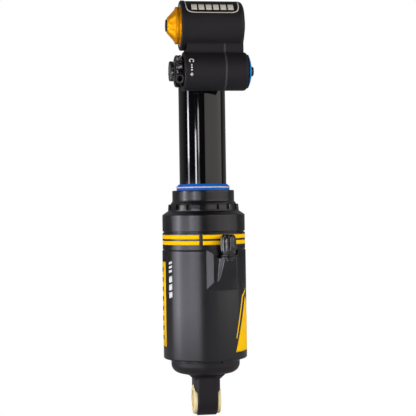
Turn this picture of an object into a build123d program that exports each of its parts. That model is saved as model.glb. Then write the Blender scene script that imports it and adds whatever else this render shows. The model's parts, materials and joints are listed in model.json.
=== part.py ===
"""Air-sprung rear shock absorber with a crosswise oil reservoir, in millimetres.

The origin is the centre of the lower eye. +Z runs along the shock to the upper eye, X runs along
both eyes' bolts, and the valve barrel and the reservoir lie across the front, on the -Y side.
The head, the damper tube and all that is fixed to them stand still. The end cap with the lower
eye, the piston rod and the air can slide up the tube as the shock is compressed.
"""
import os
from math import cos, pi, radians, sin

from build123d import *

os.makedirs("parts", exist_ok=True)

# Fits
running_gap = 0.05      # radial clearance of pieces that slide or turn on each other
free_gap = 0.4          # space between pieces that move past each other
stop_gap = 0.6          # space left at full compression

# Travel and eyes
stroke = 60.0
eye_width = 14.0
eye_r = 11.0
eye_bore_r = 7.55
pin_r = 6.35
bushing_flange_r = 10.0
bushing_flange_t = 2.2
bushing_gap = 1.0       # between the two bushings of one eye
lug_width = 17.7

# Tubes and rod
tube_r = 16.0
tube_wall = 1.6
tube_space = 1.8        # oil space between the two tubes
inner_tube_wall = 1.1
rod_r = 6.0
rod_tip_r = 4.0

# Air can
can_r = 28.7
can_wall = 2.7
band_step = 0.4         # the upper band is this much smaller in radius
sleeve_bore_r = 21.0
sleeve_wall = 2.0
can_top_wall = 3.0

# End cap
cap_bottom = 17.0
cap_step = 5.2          # the cap is this much smaller in radius than the can
can_bottom = 28.6
flange_lift = 2.4       # from the can's lower edge to the end cap's flange
flange_h = 5.1
spigot_h = 4.0
bumper_h = 4.9

# Air piston and seal head
air_piston_h = 14.0
negative_gap = 2.5
shoulder_h = 7.0        # from the seal head's lower face to the can's top face
lock_ring_h = 4.7
lock_ring_t = 1.35      # beyond the sleeve's outer radius
lock_ring_notches = 16
shoulder_drop = 2.6     # the can's sloping shoulder
collar_step = 0.25      # beyond the sleeve's bore radius
collar_h = 9.3
wiper_t = 2.2
wiper_h = 4.3
wiper_seat = 3.0

# Head
neck_to_eye = 22.0
socket_depth = 6.0
socket_wall = 2.0
barrel_y = -24.0
barrel_drop = 8.0       # from the upper eye's centre down to the barrel's
barrel_r = 12.85
barrel_left = -15.8
barrel_right = 27.3
barrel_bore_r = 10.0
reservoir_y = -20.0
reservoir_rise = 23.0   # from the upper eye's centre up to the reservoir's
reservoir_r = 16.3
reservoir_left = -17.0
reservoir_right = 25.0
reservoir_bore_r = 14.1
reservoir_end_wall = 3.0
barrel_corner = 2.6
reservoir_corner = 3.3
web_lead = 5.5          # the web's front is this far before the barrel's axis
web_inset = 2.5
lip_w = 2.5
lip_t = 0.35

# Adjusters
spindle_r = 2.5
rebound_knob_r = 12.4
lever_r = 10.9
lever_t = 5.5
dial_r = 11.25

# Air valve on the can
valve_angle = 20.5      # from -Y towards +X
valve_stand = 5.3       # from the can's surface to the valve's axis
stem_r = 3.85
stem_bore_r = 1.5
stem_seat = 1.6         # depth of the stem's seat in the boss
valve_cap_r = 5.3
valve_cap_h = 13.0
boss_top_drop = 31.7    # from the can's top face down to the boss's
boss_h = 20.5
pad_h = 3.0             # how far the pad under the boss stands out
lower_edge_r = 2.4

# Radii and heights that follow
can_bore_r = can_r - can_wall
cap_r = can_r - cap_step
valve_r = can_r + valve_stand
sleeve_r = sleeve_bore_r + sleeve_wall
lock_ring_r = sleeve_r + lock_ring_t
collar_r = sleeve_bore_r + collar_step
wiper_r = tube_r + wiper_t
inner_tube_r = tube_r - tube_wall - tube_space
flange_bottom = can_bottom + flange_lift
flange_top = flange_bottom + flange_h
spigot_top = flange_top + spigot_h
bumper_top = spigot_top + bumper_h
air_piston_bottom = bumper_top + stroke + stop_gap
air_piston_top = air_piston_bottom + air_piston_h
seal_head_bottom = air_piston_top + negative_gap
can_top = seal_head_bottom + shoulder_h
lock_ring_top = can_top + lock_ring_h
collar_top = lock_ring_top + collar_h
wiper_top = collar_top + wiper_h
neck_bottom = wiper_top + stroke + stop_gap
eye_z = neck_bottom + neck_to_eye
barrel_z = eye_z - barrel_drop
reservoir_z = eye_z + reservoir_rise


def save(piece, name):
    """Label a finished piece and write it to its own file."""
    piece.part.label = name
    export_step(piece.part, f"parts/{name}.step")


def ring(name, inner_r, outer_r, bottom, height):
    """Make a plain ring about the shock's axis."""
    with BuildPart() as piece:
        with BuildSketch(Plane.XY.offset(bottom)):
            Circle(outer_r)
            Circle(inner_r, mode=Mode.SUBTRACT)
        extrude(amount=height)
    save(piece, name)


def cross_plane(y, z):
    """Give the plane through (y, z) whose local x is +X and whose local y is +Z."""
    return Plane(origin=(0, y, z), x_dir=(1, 0, 0), z_dir=(0, -1, 0))


def cross_axis(y, z):
    """Give the axis through (y, z) that points along +X."""
    return Axis((0, y, z), (1, 0, 0))


def turned(name, points, y, z):
    """Turn an outline of (x, radius) points about the cross axis through (y, z)."""
    with BuildPart() as piece:
        with BuildSketch(cross_plane(y, z)):
            with BuildLine():
                Polyline(*points, close=True)
            make_face()
        revolve(axis=cross_axis(y, z))
    save(piece, name)


# ---------------------------------------------------------------- lower end: eye, cap and rod

eye_chamfer = 0.8
root_z = cap_bottom - 0.8      # the middle of the cap's sloping underside
with BuildPart() as end_cap:
    with BuildSketch(Plane.YZ.offset(-eye_width / 2)):
        Circle(eye_r)
    extrude(amount=eye_width)
    chamfer(end_cap.edges().filter_by(GeomType.CIRCLE), eye_chamfer)
    # The eye's front and back run straight up into the cap.
    with BuildSketch(Plane.XY):
        Rectangle(eye_width, 2 * eye_r)
        chamfer(vertices(), eye_chamfer)
    extrude(amount=cap_bottom)
    # The lug is wider than the eye and is scooped away round the bushing flanges.
    with BuildSketch(Plane.XY.offset(0)):
        RectangleRounded(lug_width, eye_r * 1.7, 3.0)
    extrude(amount=cap_bottom + 1.0)
    for side in (-1, 1):
        with BuildSketch(Plane.YZ.offset(side * eye_width / 2)):
            Circle(bushing_flange_r + 0.6)
        extrude(amount=side * lug_width, mode=Mode.SUBTRACT)
    # A flared root joins the lug to the cap.
    with BuildSketch(Plane.XY.offset(cap_bottom - 2.8)):
        RectangleRounded(lug_width, eye_r * 1.7, 3.0)
    with BuildSketch(Plane.XY.offset(cap_bottom + 0.5)):
        RectangleRounded(lug_width + 7.0, eye_r * 1.7 + 7.0, 6.0)
    loft()
    # The cap has a rounded underside, a groove for the wire ring, a flange and a spigot.
    with BuildSketch(Plane.XZ):
        with BuildLine():
            Polyline((0, root_z), (cap_r - 14.5, root_z), (cap_r - 5.5, root_z + 2.4))
            ThreePointArc((cap_r - 5.5, root_z + 2.4), (cap_r - 1.6, root_z + 4.4), (cap_r, root_z + 8.1))
            Polyline((cap_r, root_z + 8.1), (cap_r, can_bottom - 1.65), (cap_r - 0.6, can_bottom - 1.65),
                     (cap_r - 0.6, can_bottom - 0.15), (cap_r, can_bottom - 0.15), (cap_r, flange_bottom),
                     (can_bore_r - running_gap, flange_bottom),
                     (can_bore_r - running_gap, flange_bottom + 1.5),
                     (can_bore_r - 1.8, flange_bottom + 1.5), (can_bore_r - 1.8, flange_bottom + 3.7),
                     (can_bore_r - running_gap, flange_bottom + 3.7), (can_bore_r - running_gap, flange_top),
                     (sleeve_bore_r - running_gap, flange_top), (sleeve_bore_r - running_gap, spigot_top),
                     (0, spigot_top), (0, root_z))
        make_face()
    revolve(axis=Axis.Z)
    with BuildSketch(Plane.YZ.offset(-lug_width)):
        Circle(eye_bore_r)
    extrude(amount=2 * lug_width, mode=Mode.SUBTRACT)
    # Threaded pocket for the piston rod
    with BuildSketch(Plane.XY.offset(spigot_top)):
        Circle(rod_r)
    extrude(amount=-(spigot_top - cap_bottom - 6.0), mode=Mode.SUBTRACT)
save(end_cap, "end_cap")


def eye_bushing(name, z, side):
    """Make one flanged bushing of the eye at height z, on the left (side -1) or the right (1)."""
    inner_x = bushing_gap / 2
    flange_x = eye_width / 2
    outer_x = flange_x + bushing_flange_t
    rim = 0.5
    points = [(inner_x, pin_r), (outer_x, pin_r), (outer_x, bushing_flange_r - rim),
              (outer_x - rim, bushing_flange_r), (flange_x, bushing_flange_r),
              (flange_x, eye_bore_r), (inner_x, eye_bore_r)]
    turned(name, [(side * x, r) for x, r in points], 0, z)


for level, height in (("lower", 0.0), ("upper", eye_z)):
    eye_bushing(f"{level}_bushing_left", height, -1)
    eye_bushing(f"{level}_bushing_right", height, 1)

# The wire ring sits in the cap's groove, just below the can, with its gap at the front right.
with BuildPart() as wire_ring:
    with BuildSketch(Plane.XZ):
        with Locations((cap_r + 0.1, can_bottom - 0.9)):
            Circle(0.7)
    revolve(axis=Axis.Z)
    with BuildSketch(Plane.XY.offset(can_bottom - 2.5)):
        with Locations(Location((0, 0, 0), (0, 0, -72))):
            with Locations((cap_r, 0)):
                Rectangle(4.0, 2.2)
    extrude(amount=2.4, mode=Mode.SUBTRACT)
save(wire_ring, "wire_ring")

ring("flange_seal", can_bore_r - 1.8, can_bore_r - running_gap, flange_bottom + 1.6, 2.0)

piston_bottom = air_piston_bottom + 15.0
piston_h = 9.0
shim_t = 0.4
shim_pitch = 0.45
nut_bottom = piston_bottom + piston_h + 1.4

with BuildPart() as piston_rod:
    with BuildSketch(Plane.XY.offset(cap_bottom + 6.0)):
        Circle(rod_r)
    extrude(amount=piston_bottom - 1.4 - cap_bottom - 6.0)
    with BuildSketch(Plane.XY.offset(piston_bottom - 1.4)):
        Circle(rod_tip_r)
    extrude(amount=nut_bottom + 5.0 - piston_bottom + 1.4)
    chamfer(piston_rod.edges().sort_by(Axis.Z)[-1], 0.6)
save(piston_rod, "piston_rod")

piston_r = inner_tube_r - inner_tube_wall - free_gap
with BuildPart() as main_piston:
    with BuildSketch(Plane.XY.offset(piston_bottom)):
        Circle(piston_r)
        Circle(rod_tip_r, mode=Mode.SUBTRACT)
        with PolarLocations((rod_tip_r + piston_r) / 2, 6):
            Circle(1.1, mode=Mode.SUBTRACT)
    extrude(amount=piston_h)
    with BuildSketch(Plane.XY.offset(piston_bottom + 2.0)):
        Circle(piston_r)
        Circle(piston_r - 0.8, mode=Mode.SUBTRACT)
    extrude(amount=piston_h - 4.0, mode=Mode.SUBTRACT)
save(main_piston, "main_piston")

ring("piston_band", piston_r - 0.8, inner_tube_r - inner_tube_wall - running_gap, piston_bottom + 2.0,
     piston_h - 4.0)

# Thin shims of falling size lie on both faces of the piston.
with BuildPart() as piston_shims:
    for step, share in enumerate((0.78, 0.56, 0.35)):
        shim_r = rod_tip_r + share * (piston_r - rod_tip_r)
        for base in (piston_bottom + piston_h + step * shim_pitch + 0.05,
                     piston_bottom - (step + 1) * shim_pitch):
            with BuildSketch(Plane.XY.offset(base)):
                Circle(shim_r)
                Circle(rod_tip_r, mode=Mode.SUBTRACT)
            extrude(amount=shim_t)
save(piston_shims, "piston_shims")

with BuildPart() as piston_nut:
    with BuildSketch(Plane.XY.offset(nut_bottom)):
        RegularPolygon(6.5, 6)
        Circle(rod_tip_r, mode=Mode.SUBTRACT)
    extrude(amount=4.0)
save(piston_nut, "piston_nut")

with BuildPart() as bottom_out_bumper:
    with BuildSketch(Plane.XZ):
        with BuildLine():
            Polyline((rod_r, spigot_top), (13.5, spigot_top), (12.5, bumper_top), (rod_r + 1.0, bumper_top),
                     (rod_r, bumper_top - 1.0), close=True)
        make_face()
    revolve(axis=Axis.Z)
save(bottom_out_bumper, "bottom_out_bumper")

# ---------------------------------------------------------------- air can

groove_z = can_top - 14.2
band_bottom = can_top - 26.0
boss_top = can_top - boss_top_drop
boss_bottom = boss_top - boss_h
boss_face = valve_r + valve_cap_r - 0.6


def valve_plane(z):
    """Give a level plane whose local -y points from the shock's axis to the air valve."""
    return Plane(origin=(0, 0, z), x_dir=(cos(radians(valve_angle)), sin(radians(valve_angle)), 0),
                 z_dir=(0, 0, 1))


with BuildPart() as outer_can:
    with BuildSketch(Plane.XZ):
        with BuildLine():
            band_r = can_r - band_step
            Polyline((can_bore_r, can_bottom), (can_r - lower_edge_r, can_bottom))
            RadiusArc((can_r - lower_edge_r, can_bottom), (can_r, can_bottom + lower_edge_r), -lower_edge_r)
            Polyline((can_r, can_bottom + lower_edge_r), (can_r, band_bottom - 0.3), (band_r, band_bottom),
                     (band_r, groove_z - 0.45), (band_r - 0.45, groove_z - 0.2),
                     (band_r - 0.45, groove_z + 0.2),
                     (band_r, groove_z + 0.45), (band_r, can_top - shoulder_drop),
                     (lock_ring_r + 0.3, can_top), (sleeve_r, can_top), (sleeve_r, can_top - can_top_wall),
                     (can_bore_r - 1.5, can_top - can_top_wall), (can_bore_r, can_top - can_top_wall - 1.5),
                     (can_bore_r, flange_bottom - 0.4), (can_bore_r + 1.2, flange_bottom - 0.4),
                     (can_bore_r + 1.2, can_bottom + 0.5), (can_bore_r, can_bottom + 0.5),
                     (can_bore_r, can_bottom))
        make_face()
    revolve(axis=Axis.Z)
    # A pad with sloping sides stands on the can, and a wedge that thickens upwards stands on the pad.
    pad_face = can_r + pad_h
    for root_half, low_half, high_half, high_face in ((12.0, 8.0, 8.0, pad_face), (5.9, 5.4, 3.6, boss_face)):
        for z, half, face in ((boss_bottom, low_half, pad_face), (boss_top, high_half, high_face)):
            with BuildSketch(valve_plane(z)):
                with BuildLine():
                    Polyline((-root_half, -can_r + 3.2), (-half, -face), (half, -face),
                             (root_half, -can_r + 3.2),
                             close=True)
                make_face()
        loft()
    # Seat the valve in the boss, and drill its air way into the can.
    with BuildSketch(valve_plane(boss_top)):
        with Locations((0, -valve_r)):
            Circle(stem_r)
    extrude(amount=-stem_seat, mode=Mode.SUBTRACT)
    with BuildSketch(valve_plane(boss_top)):
        with Locations((0, -valve_r)):
            Circle(stem_bore_r)
    extrude(amount=-9.0, mode=Mode.SUBTRACT)
    with BuildSketch(Plane(origin=valve_plane(boss_top - 7.0).from_local_coords((0, -valve_r, 0)),
                           z_dir=valve_plane(0).y_dir)):
        Circle(1.2)
    extrude(amount=valve_r - can_bore_r + 1.0, mode=Mode.SUBTRACT)
save(outer_can, "outer_can")

# The flat retaining ring sits in the can's groove, under the end cap's flange.
with BuildPart() as retaining_ring:
    with BuildSketch(Plane.XY.offset(can_bottom + 0.55)):
        Circle(can_bore_r + 1.1)
        Circle(cap_r + free_gap, mode=Mode.SUBTRACT)
        with Locations((0, can_bore_r)):
            Rectangle(5.0, 6.0, mode=Mode.SUBTRACT)
    extrude(amount=flange_lift - 1.05)
save(retaining_ring, "retaining_ring")

with BuildPart() as inner_sleeve:
    shoulder_top = can_top - can_top_wall
    with BuildSketch(Plane.XZ):
        with BuildLine():
            Polyline((sleeve_bore_r, flange_top + free_gap), (sleeve_r, flange_top + free_gap),
                     (sleeve_r, shoulder_top - 2.0), (sleeve_r + 1.4, shoulder_top - 2.0),
                     (sleeve_r + 1.4, shoulder_top), (sleeve_r, shoulder_top), (sleeve_r, can_top),
                     (sleeve_r - 1.0, can_top), (sleeve_r - 1.0, lock_ring_top - 1.7),
                     (sleeve_bore_r, lock_ring_top - 1.7), close=True)
        make_face()
    revolve(axis=Axis.Z)
    # Ports join the chamber above the air piston to the space round the sleeve.
    for quarter in range(4):
        with BuildSketch(Plane(origin=(0, 0, seal_head_bottom - 1.2),
                               z_dir=(cos(quarter * pi / 2), sin(quarter * pi / 2), 0))):
            Circle(1.0)
        extrude(amount=sleeve_r + 1.0, mode=Mode.SUBTRACT)
save(inner_sleeve, "inner_sleeve")

with BuildPart() as lock_ring:
    with BuildSketch(Plane.XZ):
        with BuildLine():
            Polyline((sleeve_r - 1.0, can_top), (lock_ring_r, can_top), (lock_ring_r, can_top + 1.2),
                     (lock_ring_r - 0.35, lock_ring_top - 0.4), (lock_ring_r - 0.75, lock_ring_top),
                     (sleeve_r - 1.0, lock_ring_top), close=True)
        make_face()
    revolve(axis=Axis.Z)
    with BuildSketch(Plane.XY.offset(can_top + 0.9)):
        with PolarLocations(lock_ring_r, lock_ring_notches, start_angle=12.8):
            Rectangle(2.8, 4.0)
    extrude(amount=lock_ring_h, mode=Mode.SUBTRACT)
save(lock_ring, "lock_ring")

bushing_outer_r = tube_r + 1.0
seal_groove_r = tube_r + 2.4
with BuildPart() as seal_head:
    sleeve_end = lock_ring_top - 1.7
    with BuildSketch(Plane.XZ):
        with BuildLine():
            Polyline((bushing_outer_r, seal_head_bottom), (sleeve_bore_r, seal_head_bottom),
                     (sleeve_bore_r, sleeve_end), (sleeve_r - 1.0, sleeve_end),
                     (sleeve_r - 1.0, lock_ring_top),
                     (sleeve_r - 0.5, lock_ring_top), (collar_r, lock_ring_top + 1.6),
                     (collar_r, collar_top - 0.7),
                     (collar_r - 0.7, collar_top), (wiper_r, collar_top), (wiper_r, collar_top - wiper_seat),
                     (bushing_outer_r, collar_top - wiper_seat), (bushing_outer_r, sleeve_end + 1.0),
                     (seal_groove_r, sleeve_end + 1.0), (seal_groove_r, sleeve_end - 2.5),
                     (bushing_outer_r, sleeve_end - 2.5), close=True)
        make_face()
    revolve(axis=Axis.Z)
save(seal_head, "seal_head")

ring("guide_bushing", tube_r + running_gap, bushing_outer_r, seal_head_bottom, 6.5)
ring("air_seal", tube_r + running_gap, seal_groove_r, sleeve_end - 2.4, 3.3)

with BuildPart() as dust_wiper:
    spring_z = wiper_top - 2.3
    with BuildSketch(Plane.XZ):
        with BuildLine():
            Polyline((tube_r + running_gap, wiper_top), (tube_r + 0.55, wiper_top),
                     (wiper_r, wiper_top - 1.5),
                     (wiper_r, spring_z + 0.45), (wiper_r - 0.7, spring_z + 0.45),
                     (wiper_r - 0.7, spring_z - 0.45),
                     (wiper_r, spring_z - 0.45), (wiper_r, collar_top - wiper_seat),
                     (tube_r + 0.9, collar_top - wiper_seat), (tube_r + 0.9, wiper_top - 1.6),
                     (tube_r + running_gap, wiper_top - 0.9), close=True)
        make_face()
    revolve(axis=Axis.Z)
save(dust_wiper, "dust_wiper")

with BuildPart() as wiper_spring:
    with BuildSketch(Plane.XZ):
        with Locations((wiper_r - 0.15, spring_z)):
            Circle(0.42)
    revolve(axis=Axis.Z)
save(wiper_spring, "wiper_spring")

# ---------------------------------------------------------------- air valve

stem_top = boss_top + 12.0
hex_h = 2.4
cap_base = boss_top + hex_h + free_gap
with BuildPart() as air_valve:
    with BuildSketch(valve_plane(boss_top - stem_seat)):
        with Locations((0, -valve_r)):
            Circle(stem_r)
    extrude(amount=stem_top - boss_top + stem_seat)
    with BuildSketch(valve_plane(boss_top)):
        with Locations((0, -valve_r)):
            RegularPolygon(5.6, 6)
    extrude(amount=hex_h)
    with BuildSketch(valve_plane(boss_top - stem_seat)):
        with Locations((0, -valve_r)):
            Circle(stem_bore_r)
    extrude(amount=stem_top - boss_top + stem_seat, mode=Mode.SUBTRACT)
save(air_valve, "air_valve")

with BuildPart() as valve_pin:
    with BuildSketch(valve_plane(boss_top - 4.0)):
        with Locations((0, -valve_r)):
            Circle(stem_bore_r - running_gap)
    extrude(amount=6.0)
    with BuildSketch(valve_plane(boss_top + 2.0)):
        with Locations((0, -valve_r)):
            Circle(0.7)
    extrude(amount=stem_top - boss_top - 2.4)
save(valve_pin, "valve_pin")

cap_wall_top = cap_base + valve_cap_h
gasket_h = 1.2
with BuildPart() as valve_cap:
    with BuildSketch(valve_plane(cap_base)):
        with Locations((0, -valve_r)):
            Circle(valve_cap_r - 0.35)
            with PolarLocations(valve_cap_r - 0.35, 22):
                Circle(0.35)
    extrude(amount=valve_cap_h - 1.5)
    with BuildSketch(valve_plane(cap_wall_top - 1.5)):
        with Locations((0, -valve_r)):
            Circle(valve_cap_r - 0.35)
    extrude(amount=1.5, taper=25)
    with BuildSketch(valve_plane(cap_wall_top)):
        with Locations((0, -valve_r)):
            Circle(2.9)
    extrude(amount=-0.9, mode=Mode.SUBTRACT)
    with BuildSketch(valve_plane(cap_base)):
        with Locations((0, -valve_r)):
            Circle(stem_r + running_gap)
    extrude(amount=stem_top + free_gap + gasket_h - cap_base, mode=Mode.SUBTRACT)
save(valve_cap, "valve_cap")

with BuildPart() as cap_gasket:
    with BuildSketch(valve_plane(stem_top + free_gap)):
        with Locations((0, -valve_r)):
            Circle(stem_r)
            Circle(stem_bore_r, mode=Mode.SUBTRACT)
    extrude(amount=gasket_h - 0.02)
save(cap_gasket, "cap_gasket")

# ---------------------------------------------------------------- damper tubes and air piston

guide_top = air_piston_bottom + 11.0
tube_bore_r = tube_r - tube_wall
socket_r = tube_r - socket_wall
socket_top = neck_bottom + socket_depth

with BuildPart() as damper_tube:
    with BuildSketch(Plane.XZ):
        with BuildLine():
            Polyline((tube_bore_r, air_piston_bottom), (tube_r, air_piston_bottom), (tube_r, neck_bottom),
                     (socket_r, neck_bottom), (socket_r, socket_top), (inner_tube_r + 0.2, socket_top),
                     (inner_tube_r + 0.2, neck_bottom - 4.0), (tube_bore_r, neck_bottom - 6.0), close=True)
        make_face()
    revolve(axis=Axis.Z)
save(damper_tube, "damper_tube")

inner_tube_bore_r = inner_tube_r - inner_tube_wall
ring("inner_tube", inner_tube_bore_r, inner_tube_r, guide_top - 2.0, neck_bottom - 2.0 - guide_top + 2.0)

with BuildPart() as rod_guide:
    seal_r = rod_r + 2.2
    with BuildSketch(Plane.XZ):
        with BuildLine():
            Polyline((rod_r + running_gap, air_piston_bottom), (tube_bore_r, air_piston_bottom),
                     (tube_bore_r, guide_top - 2.0), (inner_tube_bore_r, guide_top - 2.0),
                     (inner_tube_bore_r, guide_top), (rod_r + running_gap, guide_top),
                     (rod_r + running_gap, air_piston_bottom + 6.0), (seal_r, air_piston_bottom + 6.0),
                     (seal_r, air_piston_bottom + 3.0),
                     (rod_r + running_gap, air_piston_bottom + 3.0), close=True)
        make_face()
    revolve(axis=Axis.Z)
save(rod_guide, "rod_guide")

ring("rod_seal", rod_r + running_gap, seal_r, air_piston_bottom + 3.1, 2.8)

air_piston_r = sleeve_bore_r - free_gap
piston_groove_r = air_piston_r - 2.0
with BuildPart() as air_piston:
    grooves = ((air_piston_bottom + 1.0, 2.5), (air_piston_bottom + 5.2, 3.4),
               (air_piston_bottom + 10.3, 2.5))
    with BuildSketch(Plane.XY.offset(air_piston_bottom)):
        Circle(air_piston_r)
        Circle(tube_r, mode=Mode.SUBTRACT)
    extrude(amount=air_piston_h)
    for base, height in grooves:
        with BuildSketch(Plane.XY.offset(base)):
            Circle(air_piston_r)
            Circle(piston_groove_r, mode=Mode.SUBTRACT)
        extrude(amount=height, mode=Mode.SUBTRACT)
save(air_piston, "air_piston")

ring("glide_band_lower", piston_groove_r, sleeve_bore_r - running_gap, grooves[0][0], grooves[0][1])
ring("air_piston_seal", piston_groove_r, sleeve_bore_r - running_gap, grooves[1][0], grooves[1][1])
ring("glide_band_upper", piston_groove_r, sleeve_bore_r - running_gap, grooves[2][0], grooves[2][1])
ring("top_out_bumper", tube_r, tube_r + 3.0, air_piston_top, negative_gap - free_gap)

# ---------------------------------------------------------------- head

with BuildPart() as head_body:
    with BuildSketch(cross_plane(barrel_y, barrel_z)):
        with BuildLine():
            Polyline((barrel_right - barrel_corner, barrel_r), (barrel_left + 0.5, barrel_r),
                     (barrel_left, barrel_r - 0.5), (barrel_left, 0), (barrel_right, 0),
                     (barrel_right, barrel_r - barrel_corner))
            RadiusArc((barrel_right, barrel_r - barrel_corner), (barrel_right - barrel_corner, barrel_r),
                      -barrel_corner)
        make_face()
    revolve(axis=cross_axis(barrel_y, barrel_z))
    # The reservoir has a proud lip at its left end.
    with BuildSketch(cross_plane(reservoir_y, reservoir_z)):
        with BuildLine():
            Polyline((reservoir_right - reservoir_corner, reservoir_r), (reservoir_left + lip_w, reservoir_r),
                     (reservoir_left + lip_w, reservoir_r + lip_t),
                     (reservoir_left + 0.5, reservoir_r + lip_t),
                     (reservoir_left, reservoir_r - 0.2), (reservoir_left, 0), (reservoir_right, 0),
                     (reservoir_right, reservoir_r - reservoir_corner))
            RadiusArc((reservoir_right, reservoir_r - reservoir_corner),
                      (reservoir_right - reservoir_corner, reservoir_r), -reservoir_corner)
        make_face()
    revolve(axis=cross_axis(reservoir_y, reservoir_z))
    # The web between them is set back from their fronts, and rounded into both.
    web_front = barrel_y - web_lead
    web_left = barrel_left + web_inset
    with BuildSketch(Plane.YZ.offset(web_left)):
        with BuildLine():
            Polyline((web_front, barrel_z), (web_front, reservoir_z),
                     (reservoir_y + reservoir_r - 5.0, reservoir_z), (barrel_y + barrel_r - 1.6, barrel_z),
                     close=True)
        make_face()
    extrude(amount=reservoir_right - 0.5 - web_left)
    inner_corners = [edge for edge in head_body.edges().filter_by(Axis.X)
                     if edge.length > barrel_r and abs(edge.center().Y - web_front) < 0.1]
    fillet(inner_corners, 2.4)
    # Neck, with the socket that takes the damper tube
    with BuildSketch(Plane.XZ):
        with BuildLine():
            Polyline((0, neck_bottom), (tube_r, neck_bottom), (tube_r, socket_top + 2.0),
                     (tube_r - 3.0, socket_top + 5.0), (0, socket_top + 5.0), close=True)
        make_face()
    revolve(axis=Axis.Z)
    with BuildSketch(Plane.YZ.offset(-eye_width / 2)):
        with Locations((0, eye_z)):
            Circle(eye_r)
        with BuildLine():
            Polyline((-tube_r + 1.5, socket_top), (-eye_r, eye_z), (eye_r, eye_z), (tube_r - 2.5, socket_top),
                     close=True)
        make_face()
    extrude(amount=eye_width)
    # Bridge from the neck to the barrel, kept clear of the upper bolt's ends
    with BuildSketch(Plane.XY.offset(socket_top - 2.5)):
        with Locations((0, barrel_y / 2 - 3.0)):
            Rectangle(2 * tube_r - 8.0, 14.0)
    extrude(amount=4.5)
    # Bores
    with BuildSketch(Plane.XY.offset(neck_bottom)):
        Circle(socket_r)
    extrude(amount=socket_depth, mode=Mode.SUBTRACT)
    with BuildSketch(Plane.YZ.offset(barrel_left)):
        with Locations((barrel_y, barrel_z)):
            Circle(barrel_bore_r)
    extrude(amount=barrel_right - barrel_left, mode=Mode.SUBTRACT)
    with BuildSketch(Plane.YZ.offset(reservoir_left)):
        with Locations((reservoir_y, reservoir_z)):
            Circle(reservoir_bore_r)
    extrude(amount=reservoir_right - reservoir_end_wall - reservoir_left, mode=Mode.SUBTRACT)
    with BuildSketch(Plane.YZ.offset(reservoir_right - reservoir_end_wall)):
        with Locations((reservoir_y, reservoir_z)):
            Circle(5.0)
    extrude(amount=reservoir_end_wall, mode=Mode.SUBTRACT)
    with BuildSketch(Plane.YZ.offset(-eye_width)):
        with Locations((0, eye_z)):
            Circle(eye_bore_r)
    extrude(amount=2 * eye_width, mode=Mode.SUBTRACT)
    # Oil ways: neck to barrel, then barrel to reservoir
    way_y, way_z = -8.0, socket_top - 2.0
    with BuildSketch(Plane(origin=(0, way_y, way_z), z_dir=(0, barrel_y - way_y, barrel_z - way_z))):
        Circle(1.8)
    extrude(amount=12.0, mode=Mode.SUBTRACT)
    with BuildSketch(Plane.XY.offset(barrel_z + barrel_bore_r - 1.5)):
        with Locations((3.0, reservoir_y - 2.0)):
            Circle(1.8)
    extrude(amount=reservoir_z - reservoir_bore_r - barrel_z - barrel_bore_r + 3.5, mode=Mode.SUBTRACT)
save(head_body, "head_body")

# ---------------------------------------------------------------- compression valve in the barrel

valve_left = barrel_left + 2.8
valve_right = barrel_right - 3.3
spool_left = valve_left + 5.0
spool_right = spool_left + 18.0
spool_bore_r = 5.0
dial_face = barrel_right + free_gap
lever_face = barrel_left - free_gap

turned("compression_valve", [(valve_left, spindle_r), (valve_left, barrel_bore_r),
                             (valve_right, barrel_bore_r),
                             (valve_right, spindle_r), (spool_right, spindle_r), (spool_right, spool_bore_r),
                             (spool_left, spool_bore_r), (spool_left, spindle_r)], barrel_y, barrel_z)

turned("lever_spool", [(lever_face - 1.0, 0), (lever_face - 1.0, spindle_r - running_gap),
                       (spool_left + free_gap, spindle_r - running_gap),
                       (spool_left + free_gap, spool_bore_r - 0.5),
                       (spool_left + 8.0, spool_bore_r - 0.5), (spool_left + 8.0, 0)], barrel_y, barrel_z)

needle_end = spool_right + 4.0
turned("compression_needle", [(spool_left + 10.0, 0), (spool_left + 12.5, spindle_r - running_gap - 1.0),
                              (spool_left + 15.0, spindle_r - running_gap),
                              (needle_end, spindle_r - running_gap),
                              (needle_end, 0)], barrel_y, barrel_z)

lug_r = 1.7
hole_tilt = 30.0        # below the forward direction
hole_angle = radians(hole_tilt)
with BuildPart() as lever:
    with BuildSketch(Plane.YZ.offset(lever_face)):
        with Locations((barrel_y, barrel_z)):
            Circle(lever_r - 1.3)
            with PolarLocations(lever_r - lug_r, 12, start_angle=15.0):
                Circle(lug_r)
    extrude(amount=-lever_t)
    # A thumb pad with a detent hole stands out at the front, below the middle.
    with BuildSketch(Plane.YZ.offset(lever_face - 0.4)):
        with Locations(Location((barrel_y, barrel_z, 0), (0, 0, 1), 180.0 + hole_tilt)):
            with Locations((lever_r / 2 + 0.6, 0)):
                Rectangle(lever_r + 1.2, 7.4)
    extrude(amount=-lever_t + 0.8)
    with BuildSketch(Plane(origin=(lever_face - lever_t / 2, barrel_y - 9.0 * cos(hole_angle),
                                   barrel_z - 9.0 * sin(hole_angle)),
                           z_dir=(0, -cos(hole_angle), -sin(hole_angle)))):
        Circle(1.85)
    extrude(amount=6.0, mode=Mode.SUBTRACT)
    with BuildSketch(Plane.YZ.offset(lever_face)):
        with Locations((barrel_y, barrel_z)):
            Circle(spindle_r - running_gap)
    extrude(amount=-1.0, mode=Mode.SUBTRACT)
    with BuildSketch(Plane.YZ.offset(lever_face - lever_t)):
        with Locations((barrel_y, barrel_z)):
            Circle(spindle_r)
    extrude(amount=3.0, mode=Mode.SUBTRACT)
save(lever, "lever")

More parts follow.
